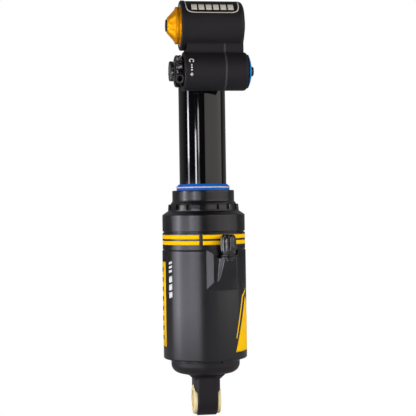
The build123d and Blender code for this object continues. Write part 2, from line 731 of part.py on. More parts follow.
threshold_face = lever_face - lever_t - free_gap
with BuildPart() as threshold_dial:
    with BuildSketch(Plane.YZ.offset(threshold_face)):
        with Locations((barrel_y, barrel_z)):
            Circle(6.85)
            with PolarLocations(6.85, 16):
                Circle(0.45, mode=Mode.SUBTRACT)
    extrude(amount=-2.8)
    chamfer(threshold_dial.faces().sort_by(Axis.X)[0].edges(), 0.25)
    with BuildSketch(Plane.YZ.offset(threshold_face)):
        with Locations((barrel_y, barrel_z)):
            Circle(spindle_r - running_gap)
    extrude(amount=2.6)
save(threshold_dial, "threshold_dial")

with BuildPart() as compression_dial:
    dome = 2.7
    rim_t = 0.4
    dome_r = (dial_r ** 2 + (dome - rim_t) ** 2) / (2 * (dome - rim_t))
    with BuildSketch(cross_plane(barrel_y, barrel_z)):
        with BuildLine():
            Polyline((dial_face, 0), (dial_face, dial_r - 0.2), (dial_face + rim_t, dial_r))
            RadiusArc((dial_face + rim_t, dial_r), (dial_face + dome, 0), dome_r)
            Polyline((dial_face + dome, 0), (dial_face, 0))
        make_face()
    revolve(axis=cross_axis(barrel_y, barrel_z))
    # Its spindle reaches in to the needle.
    with BuildSketch(Plane.YZ.offset(dial_face)):
        with Locations((barrel_y, barrel_z)):
            Circle(spindle_r - running_gap)
    extrude(amount=-(dial_face - needle_end - free_gap))
    with BuildSketch(Plane.YZ.offset(dial_face + dome)):
        with Locations((barrel_y, barrel_z)):
            Circle(3.2)
    extrude(amount=-1.2, mode=Mode.SUBTRACT)
save(compression_dial, "compression_dial")

turned("dial_screw", [(dial_face + dome - 1.2, 0), (dial_face + dome - 1.2, 3.2),
                      (dial_face + dome + 0.9, 3.2),
                      (dial_face + dome + 1.4, 2.7), (dial_face + dome + 1.4, 1.3),
                      (dial_face + dome + 0.2, 1.3),
                      (dial_face + dome + 0.2, 0)], barrel_y, barrel_z)

# ---------------------------------------------------------------- reservoir

rebound_right = reservoir_left + 8.5
bezel_t = 0.9
knob_face = reservoir_left - bezel_t - free_gap
cone_face = knob_face - 1.9
knob_end = cone_face - 5.4

turned("rebound_valve", [(reservoir_left, spindle_r), (reservoir_left, reservoir_bore_r),
                         (rebound_right, reservoir_bore_r),
                         (rebound_right, spindle_r)], reservoir_y, reservoir_z)
turned("rebound_bezel", [(reservoir_left, spindle_r + 1.5), (reservoir_left, rebound_knob_r + 0.1),
                         (reservoir_left - bezel_t + 0.3, rebound_knob_r + 0.1),
                         (reservoir_left - bezel_t, rebound_knob_r - 0.2),
                         (reservoir_left - bezel_t, spindle_r + 1.5)],
       reservoir_y, reservoir_z)

with BuildPart() as rebound_knob:
    with BuildSketch(cross_plane(reservoir_y, reservoir_z)):
        with BuildLine():
            Polyline((reservoir_left + 3.0, 0), (reservoir_left + 3.0, spindle_r - running_gap),
                     (knob_face, spindle_r - running_gap), (knob_face, rebound_knob_r - 0.3),
                     (knob_face - 0.3, rebound_knob_r), (cone_face + 0.3, rebound_knob_r),
                     (cone_face, rebound_knob_r - 0.4), (cone_face, rebound_knob_r - 1.6),
                     (knob_end + 0.4, 5.2), (knob_end, 4.8), (knob_end, 0), close=True)
        make_face()
    revolve(axis=cross_axis(reservoir_y, reservoir_z))
    # Finger scallops run along the cone.
    with BuildSketch(Plane.YZ.offset(cone_face)):
        with Locations((reservoir_y, reservoir_z)):
            with PolarLocations(11.4, 8, start_angle=10.0):
                Circle(2.6)
    extrude(amount=-8.0, mode=Mode.SUBTRACT)
    with BuildSketch(Plane.YZ.offset(knob_end)):
        with Locations((reservoir_y, reservoir_z)):
            Circle(4.0)
    extrude(amount=1.0, mode=Mode.SUBTRACT)
save(rebound_knob, "rebound_knob")

with BuildPart() as knob_screw:
    with BuildSketch(Plane.YZ.offset(knob_end + 1.0)):
        with Locations((reservoir_y, reservoir_z)):
            Circle(4.0)
    extrude(amount=-1.8)
    with BuildSketch(Plane.YZ.offset(knob_end - 0.8)):
        with Locations((reservoir_y, reservoir_z)):
            RegularPolygon(1.6, 6)
    extrude(amount=1.0, mode=Mode.SUBTRACT)
save(knob_screw, "knob_screw")

rebound_needle_left = reservoir_left + 3.0 + free_gap
turned("rebound_needle", [(rebound_needle_left, 0), (rebound_needle_left, spindle_r - running_gap),
                          (rebound_right - 1.5, spindle_r - running_gap), (rebound_right + 0.5, 0)],
       reservoir_y, reservoir_z)

float_left = rebound_right + 3.5
float_t = 7.0
float_r = reservoir_bore_r - free_gap
float_groove_r = float_r - 1.8
turned("floating_piston", [(float_left, 0), (float_left, float_r), (float_left + 2.2, float_r),
                           (float_left + 2.2, float_groove_r), (float_left + 4.8, float_groove_r),
                           (float_left + 4.8, float_r), (float_left + float_t, float_r),
                           (float_left + float_t, float_r - 3.0), (float_left + 2.5, float_r - 5.0),
                           (float_left + 2.5, 0)], reservoir_y, reservoir_z)
turned("floating_piston_seal", [(float_left + 2.3, float_groove_r),
                                (float_left + 2.3, reservoir_bore_r - running_gap),
                                (float_left + 4.7, reservoir_bore_r - running_gap),
                                (float_left + 4.7, float_groove_r)], reservoir_y, reservoir_z)

with BuildPart() as charge_plug:
    with BuildSketch(Plane.YZ.offset(reservoir_right - reservoir_end_wall)):
        with Locations((reservoir_y, reservoir_z)):
            Circle(5.0)
    extrude(amount=reservoir_end_wall)
    with BuildSketch(Plane.YZ.offset(reservoir_right)):
        with Locations((reservoir_y, reservoir_z)):
            Circle(8.0)
    extrude(amount=1.1)
    chamfer(charge_plug.edges().filter_by(GeomType.CIRCLE).sort_by(Axis.X)[-1], 0.3)
    with BuildSketch(Plane.YZ.offset(reservoir_right + 1.1)):
        with Locations((reservoir_y, reservoir_z)):
            RegularPolygon(2.9, 6)
    extrude(amount=-2.5, mode=Mode.SUBTRACT)
save(charge_plug, "charge_plug")
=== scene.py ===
"""Air shock absorber with a crosswise reservoir: its detailed shells, finishes and studio.

Shapes are worked out in millimetres, in the frame's own axes, and put into the meshes in metres.
Angles round the upright axis are counted from -Y towards +X, and round a crosswise axis from -Y towards +Z.
"""
import json
import math

import bmesh
import bpy
import numpy as np
from mathutils import Matrix, Vector


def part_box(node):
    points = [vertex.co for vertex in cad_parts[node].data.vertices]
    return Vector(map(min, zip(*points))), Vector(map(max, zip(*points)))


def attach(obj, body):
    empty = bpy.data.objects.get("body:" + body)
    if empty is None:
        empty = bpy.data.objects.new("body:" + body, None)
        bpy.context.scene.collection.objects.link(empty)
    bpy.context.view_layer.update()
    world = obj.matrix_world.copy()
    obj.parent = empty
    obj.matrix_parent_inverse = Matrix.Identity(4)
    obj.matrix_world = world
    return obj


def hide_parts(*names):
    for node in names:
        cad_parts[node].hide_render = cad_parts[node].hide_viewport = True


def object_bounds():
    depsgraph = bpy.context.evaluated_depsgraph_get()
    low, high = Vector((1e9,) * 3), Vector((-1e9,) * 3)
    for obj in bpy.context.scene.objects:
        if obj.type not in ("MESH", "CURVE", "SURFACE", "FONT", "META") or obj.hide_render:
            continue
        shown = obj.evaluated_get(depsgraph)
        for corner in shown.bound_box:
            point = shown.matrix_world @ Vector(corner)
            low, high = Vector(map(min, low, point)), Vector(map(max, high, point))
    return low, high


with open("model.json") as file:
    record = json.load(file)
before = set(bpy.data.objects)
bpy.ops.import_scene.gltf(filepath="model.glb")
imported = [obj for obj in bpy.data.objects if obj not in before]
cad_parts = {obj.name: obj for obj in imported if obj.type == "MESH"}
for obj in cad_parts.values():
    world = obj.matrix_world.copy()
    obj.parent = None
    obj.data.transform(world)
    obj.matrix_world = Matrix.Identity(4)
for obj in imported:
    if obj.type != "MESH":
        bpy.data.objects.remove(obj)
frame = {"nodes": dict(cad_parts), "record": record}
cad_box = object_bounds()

MM = 0.001
SHARP = math.radians(32)
MERGE = 2e-6


def span(node):
    """Lowest and highest corners of a CAD node, in millimetres."""
    low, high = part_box(node)
    return np.array(low) / MM, np.array(high) / MM


# ---------------------------------------------------------------- sizes taken from the frame

can_low, can_high = span("outer_can")
# The shell stays this far inside the can's box, to leave room for the printing on it.
print_room = 0.1
can_r = can_high[0] - print_room
can_bottom, can_top = can_low[2], can_high[2]
band_r = can_r - 0.3
shoulder_top_r = can_r - 4.05
shoulder_z = can_top - 2.6
groove_z = can_top - 14.2
step_z = can_top - 26.0
valve_low, valve_high = span("valve_cap")
cap_x, cap_y = (valve_low[:2] + valve_high[:2]) / 2
cap_r = (valve_high[0] - valve_low[0]) / 2
cap_foot, cap_head = valve_low[2], valve_high[2]
valve_angle = math.atan2(cap_x, -cap_y)
boss_top = cap_foot - 2.8
boss_bottom = boss_top - 20.5

lock_low, lock_high = span("lock_ring")
lock_r, lock_bottom, lock_top = lock_high[0], lock_low[2], lock_high[2]
head_high = span("seal_head")[1]
flare_r, collar_top = head_high[0], head_high[2]
collar_r = flare_r - 1.25
wiper_low, wiper_high = span("dust_wiper")
wiper_r, wiper_bottom, wiper_top = wiper_high[0], wiper_low[2], wiper_high[2]
spring_low, spring_high = span("wiper_spring")
spring_z = (spring_low[2] + spring_high[2]) / 2
tube_low, tube_high = span("damper_tube")
tube_r, tube_bottom, tube_top = tube_high[0], tube_low[2], tube_high[2]

body_low, body_high = span("head_body")
valve_box = span("compression_valve")
barrel_y, barrel_z = (valve_box[0][1:] + valve_box[1][1:]) / 2
barrel_left, barrel_right = span("lever")[1][0] + 0.4, body_high[0]
barrel_r = 12.85
rebound_box = span("rebound_valve")
reservoir_y, reservoir_z = (rebound_box[0][1:] + rebound_box[1][1:]) / 2
reservoir_left = body_low[0]
reservoir_r = body_high[2] - reservoir_z - 0.35
lower_eye = 0.0
upper_eye = (span("upper_bushing_left")[0][2] + span("upper_bushing_left")[1][2]) / 2


# ---------------------------------------------------------------- meshes

def piece_from(name, verts, faces, body, slot, material, replaced=(), wall=0.0):
    """Piece of a vertex and a face array: doubles merged, faces turned outwards, edges sharp past SHARP.

    A wall gives an open sheet that thickness inwards."""
    mesh = bpy.data.meshes.new(name)
    mesh.from_pydata((verts * MM).tolist(), [], faces.tolist())
    work = bmesh.new()
    work.from_mesh(mesh)
    bmesh.ops.remove_doubles(work, verts=work.verts, dist=MERGE)
    bmesh.ops.dissolve_degenerate(work, edges=work.edges, dist=MERGE / 20)
    bmesh.ops.recalc_face_normals(work, faces=work.faces)
    work.to_mesh(mesh)
    work.free()
    mesh.shade_smooth()
    mesh.set_sharp_from_angle(angle=SHARP)
    piece = bpy.data.objects.new(name, mesh)
    bpy.context.scene.collection.objects.link(piece)
    if wall:
        plate = piece.modifiers.new("wall", "SOLIDIFY")
        plate.thickness = wall * MM
        plate.offset = -1.0
    mesh.materials.append(material)
    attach(piece, body)
    if replaced:
        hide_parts(*replaced)
    return piece


def grid_faces(rows, columns, ring, loop):
    """Quads between neighbouring points of a grid. ring closes it row to row, and loop column to column."""
    i, j = np.meshgrid(np.arange(rows if ring else rows - 1),
                       np.arange(columns if loop else columns - 1), indexing="ij")
    i2, j2 = (i + 1) % rows, (j + 1) % columns
    corners = [i * columns + j, i2 * columns + j, i2 * columns + j2, i * columns + j2]
    return np.stack(corners, -1).reshape(-1, 4)


def surface(name, points, ring=True, loop=True, **look):
    """Piece from a grid of points, shaped rows x columns x 3, in millimetres."""
    rows, columns = points.shape[:2]
    return piece_from(name, points.reshape(-1, 3), grid_faces(rows, columns, ring, loop), **look)


def eased(corners, closed=True, steps=4):
    """Profile of corners (across, along, cut), each turned into a parabola that starts a cut away from it.

    A point of it is (1-t)^2 of the first cut point, 2t(1-t) of the corner and t^2 of the second one."""
    corners = np.asarray(corners, float)
    p, cut = corners[:, :2], corners[:, 2]
    back, ahead = np.roll(p, 1, 0) - p, np.roll(p, -1, 0) - p
    back_run, ahead_run = np.linalg.norm(back, axis=1), np.linalg.norm(ahead, axis=1)
    reach = np.minimum(cut, 0.45 * np.minimum(back_run, ahead_run))
    if not closed:
        reach[[0, -1]] = 0.0
    first = p + back * (reach / back_run)[:, None]
    second = p + ahead * (reach / ahead_run)[:, None]
    t = np.linspace(0, 1, steps)[None, :, None]
    curve = (1 - t) ** 2 * first[:, None] + 2 * t * (1 - t) * p[:, None] + t ** 2 * second[:, None]
    curve = curve.reshape(-1, 2)
    new = np.r_[True, np.linalg.norm(np.diff(curve, axis=0), axis=1) > 1e-5]
    return curve[new]


def refined(profile, step):
    """The same profile with extra points along its runs, so that none are more than a step apart."""
    run = np.r_[0, np.cumsum(np.linalg.norm(np.diff(profile, axis=0), axis=1))]
    at = np.union1d(run, np.arange(0, run[-1], step))
    return np.stack([np.interp(at, run, profile[:, 0]), np.interp(at, run, profile[:, 1])], 1)


def upright(r, z, angle, centre=(0.0, 0.0)):
    """Points at radius r, height z and angle round an upright axis."""
    r, z, angle = np.broadcast_arrays(r, z, angle)
    return np.stack([centre[0] + r * np.sin(angle), centre[1] - r * np.cos(angle), z], -1)


def crosswise(r, x, angle, centre):
    """Points at radius r, place x and angle round a crosswise axis through (y, z) centre."""
    r, x, angle = np.broadcast_arrays(r, x, angle)
    return np.stack([x, centre[0] - r * np.cos(angle), centre[1] + r * np.sin(angle)], -1)


def turn_of(count):
    """count angles all round, as a column."""
    return np.linspace(0, 2 * math.pi, count, endpoint=False)[:, None]


def lathe_z(name, profile, count=192, centre=(0.0, 0.0), **look):
    """Closed profile of (radius, height) carried round an upright axis."""
    r, z = refined(profile, 1.5).T[:, None, :]
    return surface(name, upright(r, z, turn_of(count), centre), **look)


def lathe_x(name, profile, centre, loop=False, **look):
    """Profile of (radius, place along X) carried round a crosswise axis, closed if loop."""
    r, x = refined(profile, 1.0).T[:, None, :]
    return surface(name, crosswise(r, x, turn_of(144), centre), loop=loop, **look)


def soft_min(a, b, width):
    """The smaller of two values, with their corner rounded over a width."""
    return 0.5 * (a + b - np.sqrt((a - b) ** 2 + width ** 2))


def soft_max(a, b, width):
    """The larger of two values, with their corner rounded over a width."""
    return 0.5 * (a + b + np.sqrt((a - b) ** 2 + width ** 2))


def smooth(value, start, end):
    """0 before start, 1 after end, and an even S between them."""
    t = np.clip((value - start) / (end - start), 0, 1)
    return t * t * (3 - 2 * t)


# ---------------------------------------------------------------- materials

def colour(code):
    """Linear RGBA of an sRGB hex colour."""
    part = np.array([int(code[k:k + 2], 16) for k in (1, 3, 5)]) / 255
    linear = np.where(part <= 0.04045, part / 12.92, ((part + 0.055) / 1.055) ** 2.4)
    return (*linear.tolist(), 1.0)


def add(tree, kind, settings=None, inputs=None):
    """A node with its settings, and its sockets set to values or linked to other nodes' outputs."""
    node = tree.nodes.new(kind)
    for key, value in (settings or {}).items():
        setattr(node, key, value)
    for key, value in (inputs or {}).items():
        if isinstance(value, bpy.types.NodeSocket):
            tree.links.new(value, node.inputs[key])
        else:
            node.inputs[key].default_value = value
    return node


def finish(name, low, high, roughness, spread, patch_mm, grain_mm, relief_mm,
           lines_mm=0.0, lines_depth_mm=0.0, stretch=(1, 1, 1), **sockets):
    """Finish whose colour goes from low to high over patches patch_mm wide, and its roughness by spread.

    A grain of grain_mm stands relief_mm proud. Lines lines_mm apart along Z are the marks of turning.
    Further sockets of the shader are given by name, with _ for a space."""
    material = bpy.data.materials.new(name)
    material.use_nodes = True
    tree = material.node_tree
    tree.nodes.clear()
    place = add(tree, "ShaderNodeTexCoord").outputs["Object"]
    spot = add(tree, "ShaderNodeMapping", {}, {"Vector": place, "Scale": stretch}).outputs["Vector"]
    patches = add(tree, "ShaderNodeTexNoise", {}, {
        "Vector": spot, "Scale": 1 / (patch_mm * MM), "Detail": 4.0, "Roughness": 0.6}).outputs["Fac"]
    tint = add(tree, "ShaderNodeMix", {"data_type": "RGBA"}, {
        0: patches, 6: colour(low), 7: colour(high)}).outputs[2]
    rough = add(tree, "ShaderNodeMapRange", {}, {
        "Value": patches, "From Min": 0.3, "From Max": 0.7,
        "To Min": roughness - spread, "To Max": roughness + spread}).outputs["Result"]
    grain = add(tree, "ShaderNodeTexNoise", {}, {
        "Vector": place, "Scale": 1 / (grain_mm * MM), "Detail": 2.0}).outputs["Fac"]
    relief = add(tree, "ShaderNodeBump", {}, {
        "Height": grain, "Distance": relief_mm * MM, "Strength": 1.0}).outputs["Normal"]
    if lines_mm:
        # A band wave repeats every pi/10 of a unit at scale 1.
        lines = add(tree, "ShaderNodeTexWave", {"bands_direction": "Z"}, {
            "Vector": place, "Scale": math.pi / 10 / (lines_mm * MM), "Distortion": 0.6,
            "Detail": 1.0}).outputs["Fac"]
        relief = add(tree, "ShaderNodeBump", {}, {
            "Height": lines, "Distance": lines_depth_mm * MM, "Strength": 1.0,
            "Normal": relief}).outputs["Normal"]
    shader = add(tree, "ShaderNodeBsdfPrincipled", {}, {
        "Base Color": tint, "Roughness": rough, "Normal": relief})
    for key, value in sockets.items():
        shader.inputs[key.replace("_", " ")].default_value = value
    add(tree, "ShaderNodeOutputMaterial", {}, {"Surface": shader.outputs["BSDF"]})
    return material


# Bead-blasted, black-dyed hard anodising: a matt, faintly grainy skin with hardly any shine of its own.
blasted_black = finish("blasted_black_anodising", "#110f12", "#1a181b", 0.6, 0.04, 9, 0.35, 0.006, IOR=1.4)
# Turned and black-anodised alloy: satin, with fine turning lines that draw light into upright bars.
turned_black = finish("turned_black_anodising", "#0e0d10", "#141317", 0.25, 0.02, 14, 0.5, 0.001,
                      lines_mm=0.7, lines_depth_mm=0.0012, IOR=1.55)
# Ground and hard-anodised tube: a black mirror.
polished_tube = finish("polished_hard_anodising", "#040405", "#070708", 0.06, 0.01, 20, 0.8, 0.0001,
                       stretch=(1, 1, 0.25), IOR=1.55)
# Forged and anodised end cap: darker and a little smoother than the blasted head.
forged_black = finish("forged_black_anodising", "#131014", "#1d181d", 0.42, 0.05, 7, 0.5, 0.004, IOR=1.45)
# Polished black of the levers: small bright glints on every edge.
polished_black = finish("polished_black_anodising", "#0f0d0f", "#1d1a1d", 0.16, 0.04, 3, 0.4, 0.001, IOR=1.9)
# Lighter grey of the parting-line ridge: a painted highlight for the light caught along the seam's edge. The
# ridge itself is real.
seam_highlight_grey = finish("parting_line_painted_highlight", "#2b292d", "#363439", 0.5, 0.04, 4, 0.3, 0.002, IOR=1.5)
bare_alloy = finish("machined_aluminium", "#c9c9ce", "#dedee2", 0.28, 0.06, 3, 0.3, 0.001, Metallic=1.0)
# Gold-dyed anodising over polished alloy: warm and bright, with orange where it turns away.
gold = finish("gold_anodising", "#e39405", "#f5ad0c", 0.4, 0.04, 5, 0.4, 0.001, Metallic=0.6,
              Specular_Tint=(1.0, 0.55, 0.1, 1.0))
blue = finish("blue_anodising", "#0584d2", "#0894e6", 0.45, 0.04, 5, 0.4, 0.001, Metallic=0.25,
              Specular_Tint=(0.05, 0.4, 0.9, 1.0))
steel = finish("zinc_plated_steel", "#8c8d92", "#a3a4a8", 0.3, 0.08, 2, 0.25, 0.002, Metallic=1.0)
chrome = finish("chromed_steel", "#c4c5ca", "#d6d7db", 0.08, 0.03, 10, 0.5, 0.0004, Metallic=1.0)
brass = finish("machined_brass", "#b08a3c", "#c9a455", 0.28, 0.06, 2, 0.3, 0.001, Metallic=1.0)
black_screw = finish("blackened_steel", "#0d0d0f", "#18181b", 0.25, 0.08, 2, 0.2, 0.002, IOR=1.6)
rubber = finish("black_nitrile_rubber", "#0d0d0e", "#161616", 0.6, 0.08, 3, 0.3, 0.004)
soft_grey = finish("urethane_bumper", "#3a3a3c", "#4a4a4c", 0.55, 0.06, 4, 0.4, 0.006)
# Blue polyurethane: dense and slightly waxy.
blue_rubber = finish("blue_polyurethane", "#0058b8", "#0066cc", 0.5, 0.05, 3, 0.3, 0.003,
                     Specular_IOR_Level=0.25)
# Filled cream nylon: dull, with pale flow marks round the bore.
cream_nylon = finish("cream_filled_nylon", "#e6d196", "#f6e8b8", 0.48, 0.07, 2.2, 0.25, 0.006,
                     Subsurface_Weight=0.08, Subsurface_Radius=(0.002, 0.0015, 0.001))
brown_nylon = finish("brown_glide_nylon", "#5c4d3f", "#6b5a4a", 0.5, 0.06, 3, 0.3, 0.004)
# Moulded glass-filled nylon of the valve cap, with a shine.
black_nylon = finish("glass_filled_black_nylon", "#0c0b0d", "#141215", 0.17, 0.05, 3, 0.3, 0.004, IOR=1.75)
# Screen-printed inks and a dark label film.
yellow_ink = finish("yellow_screen_ink", "#ffc400", "#ffcc00", 0.42, 0.03, 6, 0.2, 0.001,
                    Specular_IOR_Level=0.06)
white_ink = finish("white_screen_ink", "#dcdcda", "#efefec", 0.45, 0.04, 4, 0.2, 0.001)
silver_ink = finish("silver_label_ink", "#b9b4a8", "#cfcabd", 0.38, 0.05, 4, 0.2, 0.001)
dark_ink = finish("dark_label_film", "#17161a", "#1e1d21", 0.3, 0.03, 6, 0.3, 0.0005)
spring_wire = finish("garter_spring_steel", "#d6c3b0", "#efe2d4", 0.4, 0.08, 0.9, 0.3, 0.02)

slot_finishes = {
    "black_anodised": blasted_black, "satin_black_anodised": turned_black,
    "gloss_hard_anodised": polished_tube, "bare_aluminium": bare_alloy,
    "gold_anodised": gold, "blue_anodised": blue, "steel": steel,
    "chromed_steel": chrome, "brass": brass, "nitrile": rubber, "elastomer": soft_grey,
    "blue_elastomer": blue_rubber, "bushing_polymer": cream_nylon, "glide_polymer": brown_nylon,
    "black_plastic": black_nylon}
node_finishes = {
    "end_cap": forged_black, "wiper_spring": spring_wire, "dial_screw": black_screw,
    "knob_screw": black_screw, "charge_plug": black_screw, "air_valve": black_screw,
    "wire_ring": black_screw}
node_slots = {part["node"]: part["material_slot"] for part in frame["record"]["subparts"]}
for node, obj in frame["nodes"].items():
    obj.data.materials.clear()
    obj.data.materials.append(node_finishes.get(node) or slot_finishes[node_slots[node]])


# ---------------------------------------------------------------- air can

def boss_radius(z, off):
    """Radius of the valve boss at height z and angle off its middle.

    In plan it is a flat pad with two flanks, and on it a wedge with its own flanks that rises to the valve.
    Each straight edge through two points A and B is met at the radius where the ray crosses it:
    the cross product of A and B over that of the ray and B less A."""
    ray_t, ray_n = np.sin(np.abs(off)), np.cos(off)

    def edge(at, an, bt, bn):
        return (at * bn - an * bt) / (ray_t * (bn - an) - ray_n * (bt - at))

    def face(n):
        return n / np.maximum(ray_n, 0.5)

    pad_face, pad_half = can_r + 3.3, 5.7
    bevel_face, bevel_half = pad_face - 1.6, 9.4
    root_face, root_half = can_r - 2.6, 11.95
    wedge_bottom, wedge_rise = boss_bottom + 4.6, 4.9
    wedge_half, wedge_foot = (6.8, 2.7), (6.85, 1.15)

    climb = np.clip((z - wedge_bottom) / (boss_top - wedge_bottom), 1e-3, 1)
    wedge_face = pad_face + wedge_rise * climb ** 0.55
    under = can_r + 0.75 * (z - boss_bottom)
    pad = soft_min(face(pad_face), edge(pad_half, pad_face, bevel_half, bevel_face), 0.3)
    pad = soft_min(pad, edge(bevel_half, bevel_face, root_half, root_face), 0.35)
    pad = soft_min(pad, under, 0.35)
    flank = edge(wedge_half[0] - wedge_half[1] * climb, wedge_face,
                 wedge_foot[0] - wedge_foot[1] * climb, pad_face - 0.2)
    wedge = soft_min(soft_min(face(wedge_face), flank, 0.25), under, 0.35)
    wedge = np.where(np.abs(off) < 0.3, wedge, 0.0)
    return np.where(np.abs(off) < 0.5, soft_max(pad, wedge, 0.2), 0.0)


def can_shell():
    """Closed wall profile carried round the axis.

    Heights near the band's edge dip in a smooth S round the valve, and below that edge the radius is the
    larger of the wall's and the boss's."""
    inner_r, neck_r = can_r - 2.6, shoulder_top_r - 0.3
    step_r, floor_r = band_r - 0.35, band_r - 0.75
    outer = eased([(inner_r, can_bottom, 0.2), (can_r, can_bottom, 2.3), (can_r, step_z - 0.75, 0.3),
                   (step_r, step_z - 0.25, 0.1), (step_r, step_z, 0.1), (band_r, step_z + 0.2, 0.1),
                   (band_r, groove_z - 0.6, 0.15), (floor_r, groove_z - 0.3, 0.15),
                   (floor_r, groove_z + 0.3, 0.15), (band_r, groove_z + 0.6, 0.15),
                   (band_r, shoulder_z, 0.5), (shoulder_top_r, can_top, 0.2), (neck_r, can_top, 0.1),
                   (neck_r, can_top - 4.0, 0.1), (inner_r, can_top - 8.0, 0.1)], steps=7)
    profile = refined(outer, 0.45)
    boss_reach = 30
    near = np.linspace(-boss_reach, boss_reach, 260)
    far = np.linspace(boss_reach, 360 - boss_reach, 152)[1:-1]
    off = np.radians(np.r_[near, far])[:, None]
    wrapped = (off + math.pi) % (2 * math.pi) - math.pi
    r, z = profile.T[:, None, :]
    dip = (step_z - boss_top) * (1 - smooth(np.degrees(np.abs(wrapped)), 7.0, 25.5))
    window = smooth(z, step_z - 14.0, step_z - 0.5) * (1 - smooth(z, step_z + 0.2, groove_z - 1.5))
    outside = (r > can_r - 1.0) & (z > can_bottom + 2.5)
    height = z - np.where(outside, dip * window, 0.0)
    below = outside & (z < step_z - 0.2)
    r = np.where(below, soft_max(r, boss_radius(height, wrapped), 0.25), r + 0 * height)
    surface("can_shell", upright(r, height, off + valve_angle), body="can", slot="satin_black_anodised",
            material=turned_black, replaced=["outer_can"])


can_shell()


def print_on_can(name, left, right, low, high, material, rows=48, columns=3, r=can_r):
    """Printed patch between four edges. The sides are angles in degrees, the ends heights.

    Each is a number, or a pair: a side's at its low and its high end, an end's at its left and its right."""
    u, v = np.meshgrid(np.linspace(0, 1, rows), np.linspace(0, 1, columns), indexing="ij")

    def between(ends, part):
        first, last = np.broadcast_to(ends, 2)
        return first + (last - first) * part

    (low_left, low_right), (high_left, high_right) = np.broadcast_to(low, 2), np.broadcast_to(high, 2)
    z_left, z_right = between((low_left, high_left), v), between((low_right, high_right), v)
    start, end = between(left, v), between(right, v)
    points = upright(r + ink_lift, z_left + (z_right - z_left) * u, np.radians(start + (end - start) * u))
    surface(name, points, ring=False, loop=False, body="can", slot="satin_black_anodised", material=material,
            wall=ink_wall)


ink_lift, ink_wall = 0.04, 0.06
gap_start, gap_end, stripe_width = -13.9, -9.0, 2.75
for name, low in (("stripe_upper", groove_z - 4.5), ("stripe_lower", groove_z - 8.45)):
    print_on_can(name, gap_end, 360 + gap_start, low, low + stripe_width, yellow_ink, rows=240, r=band_r)

strip_low, strip_high = can_bottom + 8.9, can_bottom + 66.4
print_on_can("side_strip", -110, -74, strip_low, strip_high, yellow_ink)
first_bar_low, strip_bar_pitch, strip_bar_width = strip_low + 4.0, 6.6, 3.2
for k in range(8):
    low = first_bar_low + strip_bar_pitch * k
    print_on_can(f"strip_bar_{k + 1}", (-104, -102), (-84, -82), low, low + strip_bar_width, dark_ink,
                 rows=16, r=can_r + ink_lift)

wedge_base, wedge_tip = can_bottom + 5.5, can_bottom + 40.5
print_on_can("corner_flash", (38.4, 63.6), (108.0, 66.5), wedge_base, wedge_tip + 1.2, yellow_ink, columns=24)
print_on_can("corner_line", (39.0, 53.6), (40.9, 56.6), wedge_base + 9.2, (wedge_tip + 1.6, wedge_tip + 1.0),
             yellow_ink, rows=6, columns=24)
print_on_can("corner_line_end", (53.6, 54.2), (67.0, 68.0), (wedge_tip + 0.2, wedge_tip + 5.2),
             (wedge_tip + 2.4, wedge_tip + 7.2), yellow_ink, rows=16, columns=4)

caption_bars = ((70.5, 74.4), (75.6, 79.6), (80.9, 85.0), (87.6, 89.2), (90.4, 92.0), (93.2, 94.8))
caption_rise = 0.9
for k, (low, high) in enumerate(caption_bars):
    print_on_can(f"caption_bar_{k + 1}", -64.0, -57.0, (low, low + caption_rise), (high, high + caption_rise),
                 white_ink, rows=10)


# ---------------------------------------------------------------- lock ring, seal head and wiper

def castellated_ring():
    """Ring profile carried round the axis, with sixteen slots.

    Above its foot the radius drops by the slot's depth wherever the arc to the nearest slot's middle is
    less than half a slot, steeply on one side and along a slope on the other."""
    inner = lock_r - 2.4
    profile = refined(eased([(inner, lock_bottom, 0.05), (lock_r, lock_bottom, 0.1),
                             (lock_r, lock_bottom + 0.95, 0.05), (lock_r, lock_bottom + 1.3, 0.05),
                             (lock_r - 0.3, lock_top - 0.4, 0.15), (lock_r - 0.75, lock_top, 0.15),
                             (inner, lock_top, 0.05)]), 0.6)
    slots, half_slot, depth, first_slot = 16, 1.4, 1.9, math.radians(12.8)
    angle, pitch = turn_of(1440), 2 * math.pi / slots
    arc = ((angle - first_slot + pitch / 2) % pitch - pitch / 2) * lock_r
    r, z = profile.T[:, None, :]
    steep_side = smooth(arc, -half_slot - 0.1, -half_slot + 0.1)
    slope = 1 - smooth(arc, half_slot - 0.1, half_slot + 0.9)
    cut = steep_side * slope * smooth(z, lock_bottom + 0.85, lock_bottom + 1.2)
    r = np.maximum(r - depth * cut, np.minimum(r, inner))
    surface("castellated_ring", upright(r, z, angle), body="can", slot="black_anodised",
            material=turned_black, replaced=["lock_ring"])


castellated_ring()

head_waist_r = lock_r - 2.45
lathe_z("seal_collar", eased([(wiper_r, lock_bottom - 4.0, 0.1), (head_waist_r, lock_bottom - 4.0, 0.1),
                              (head_waist_r, lock_top, 0.1), (flare_r, lock_top, 0.2),
                              (flare_r - 0.35, lock_top + 0.9, 0.6), (collar_r, lock_top + 1.9, 0.8),
                              (collar_r, collar_top, 0.55), (wiper_r, collar_top, 0.15)]),
        body="can", slot="black_anodised", material=turned_black, replaced=["seal_head"])

spring_floor_r = wiper_r - 0.75
lathe_z("wiper_lip", eased([(tube_r + 0.03, wiper_top, 0.1), (tube_r + 0.6, wiper_top, 0.15),
                            (wiper_r, wiper_top - 1.6, 0.35), (wiper_r, spring_z + 0.5, 0.15),
                            (spring_floor_r, spring_z + 0.35, 0.2), (spring_floor_r, spring_z - 0.35, 0.2),
                            (wiper_r, spring_z - 0.5, 0.15), (wiper_r, wiper_bottom, 0.1),
                            (tube_r + 0.9, wiper_bottom, 0.1), (tube_r + 0.9, wiper_top - 1.6, 0.1)]),
        body="can", slot="blue_elastomer", material=blue_rubber, replaced=["dust_wiper"])

